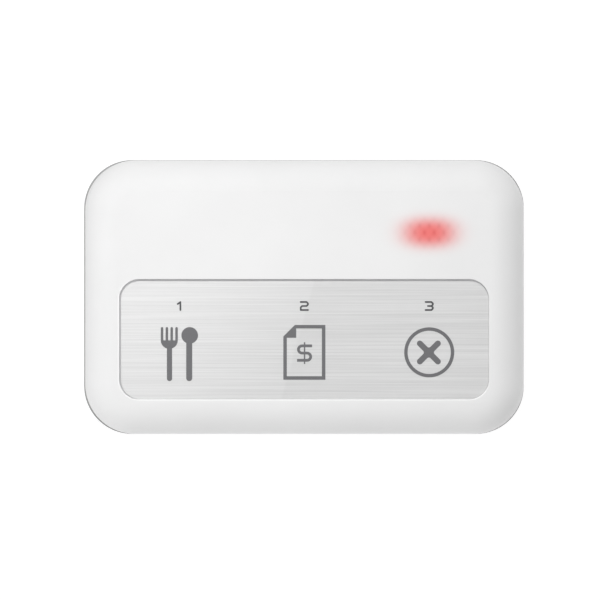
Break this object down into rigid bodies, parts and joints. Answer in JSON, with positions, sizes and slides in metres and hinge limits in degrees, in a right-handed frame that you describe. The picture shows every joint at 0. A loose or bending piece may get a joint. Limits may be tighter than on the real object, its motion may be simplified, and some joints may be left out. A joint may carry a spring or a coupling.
{
  "type": "waiter call button",
  "caption": "Flat table-top radio call button: pillow-edged white case, recessed brushed panel with three numbered sign keys, red glow light, rubber feet and sliding coin-cell door.",
  "frame": {"origin": "middle of the plane that the four feet stand on", "axes": "+X along the long side towards the third key, +Y from the keys towards the indicator light, +Z out of the face"},
  "size_m": [0.088, 0.0548, 0.014],
  "materials": {
    "case_plastic": "satin fine-textured ABS",
    "panel_film": "satin film printed to look like brushed metal",
    "panel_tape": "double-sided tape",
    "sign_ink": "screen-printed ink",
    "key_plastic": "moulded ABS",
    "switch_black": "moulded nylon",
    "spring_steel": "nickel-plated spring steel",
    "solder_tin": "tin-plated",
    "board_green": "green solder mask over glass-epoxy",
    "screw_steel": "zinc-plated steel",
    "clear_guide": "milky light guide",
    "led_body": "red surface-mount lamp",
    "chip_black": "moulded epoxy",
    "can_metal": "drawn can",
    "copper_wire": "enamelled copper wire",
    "passive_body": "ceramic",
    "cell_steel": "nickel-plated steel",
    "seal_plastic": "polypropylene seal",
    "foot_rubber": "grey rubber"
  },
  "bodies": {
    "root": {"antenna_coil": "copper_wire", "back_cover": "case_plastic", "board_screws": "screw_steel", "capacitor": "can_metal", "capacitor_base": "chip_black", "case_screws": "screw_steel", "cell_can": "cell_steel", "cell_cap": "cell_steel", "cell_seal": "seal_plastic", "chip_leads": "solder_tin", "circuit_board": "board_green", "controller_chip": "chip_black", "crystal": "can_metal", "front_cover": "case_plastic", "left_led": "led_body", "left_switch_body": "switch_black", "left_switch_dome": "spring_steel", "left_switch_plate": "spring_steel", "light_guide": "clear_guide", "middle_switch_body": "switch_black", "middle_switch_dome": "spring_steel", "middle_switch_plate": "spring_steel", "negative_contact": "spring_steel", "number_print": "sign_ink", "panel_film": "panel_film", "panel_tape": "panel_tape", "passives": "passive_body", "positive_contact": "spring_steel", "radio_chip": "chip_black", "right_led": "led_body", "right_switch_body": "switch_black", "right_switch_dome": "spring_steel", "right_switch_plate": "spring_steel", "rubber_feet": "foot_rubber", "switch_terminals": "solder_tin"},
    "left_button": {"left_key": "key_plastic", "left_switch_plunger": "switch_black", "left_sign_print": "sign_ink"},
    "middle_button": {"middle_key": "key_plastic", "middle_switch_plunger": "switch_black", "middle_sign_print": "sign_ink"},
    "right_button": {"right_key": "key_plastic", "right_switch_plunger": "switch_black", "right_sign_print": "sign_ink"},
    "door": {"battery_door": "case_plastic"}
  },
  "joints": [
    {"name": "left_press", "type": "slide", "parent": "root", "child": "left_button", "axis": [0, 0, -1], "range_m": [0, 0.0003], "stiffness_N_per_m": 5300, "deforming": ["panel_film", "left_switch_dome"]},
    {"name": "middle_press", "type": "slide", "parent": "root", "child": "middle_button", "axis": [0, 0, -1], "range_m": [0, 0.0003], "stiffness_N_per_m": 5300, "deforming": ["panel_film", "middle_switch_dome"]},
    {"name": "right_press", "type": "slide", "parent": "root", "child": "right_button", "axis": [0, 0, -1], "range_m": [0, 0.0003], "stiffness_N_per_m": 5300, "deforming": ["panel_film", "right_switch_dome"]},
    {"name": "door_slide", "type": "slide", "parent": "root", "child": "door", "axis": [0, -1, 0], "range_m": [0, 0.033]}
  ]
}
